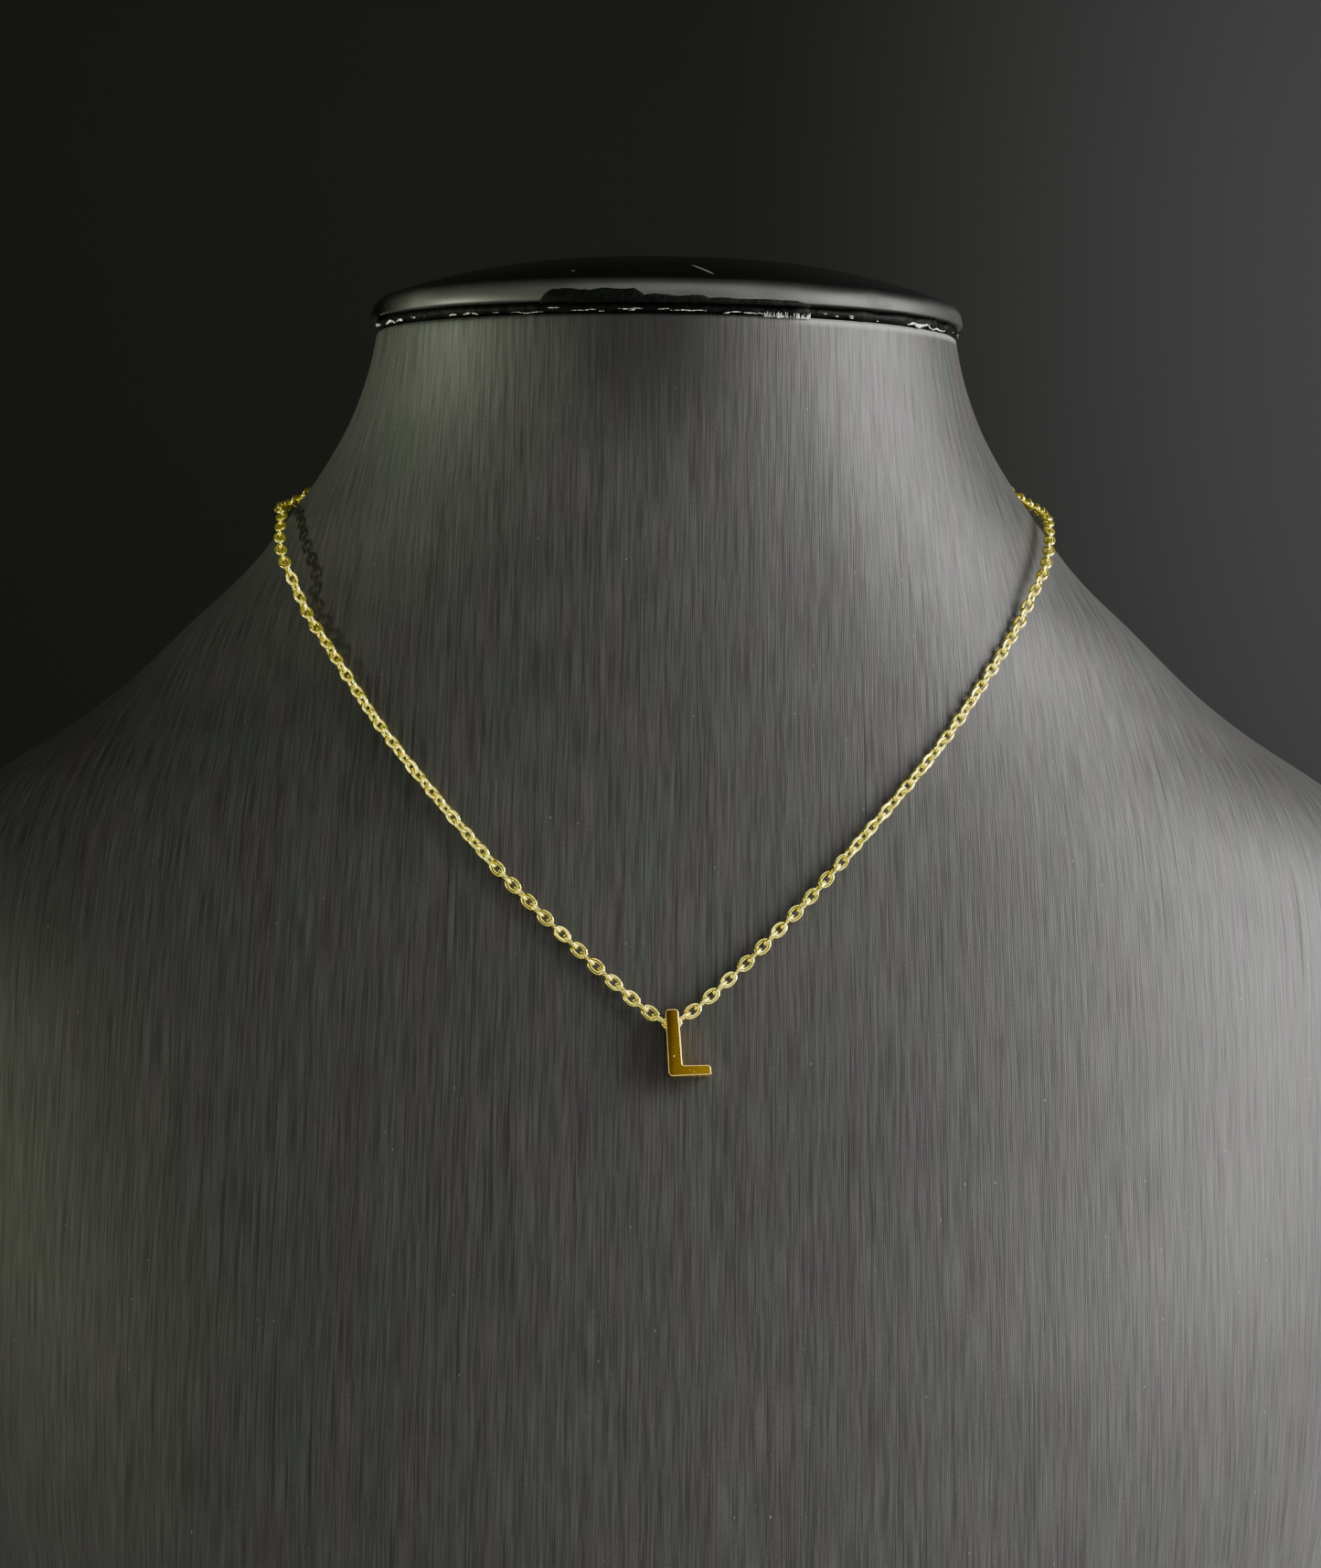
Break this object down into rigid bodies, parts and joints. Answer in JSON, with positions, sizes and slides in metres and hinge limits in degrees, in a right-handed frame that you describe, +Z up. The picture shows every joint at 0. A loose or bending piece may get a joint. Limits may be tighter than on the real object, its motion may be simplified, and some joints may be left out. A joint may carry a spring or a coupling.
{
  "type": "initial pendant necklace on a neck bust",
  "caption": "Gold initial pendant, a slide letter L, on a fine cable chain worn by a covered neck-and-shoulders display bust.",
  "frame": {"origin": "middle of the bust's box, on the surface that its flat base stands on", "axes": "+Z up the neck, the chest and the letter face -Y, +X to the right of someone who looks at the letter"},
  "size_m": [0.262, 0.136, 0.2512],
  "materials": {
    "covering": "charcoal leatherette with a fine brushed upright grain, half gloss",
    "cap": "polished black",
    "chain_gold": "polished yellow gold",
    "letter_gold": "polished yellow gold with fine handling marks"
  },
  "bodies": {
    "root": {"neck_bust": "covering", "neck_cap": "cap", "chain_left": "chain_gold", "chain_right": "chain_gold", "pendant": "letter_gold", "clasp": "chain_gold", "end_ring_left": "chain_gold", "end_ring_right": "chain_gold"}
  },
  "joints": []
}
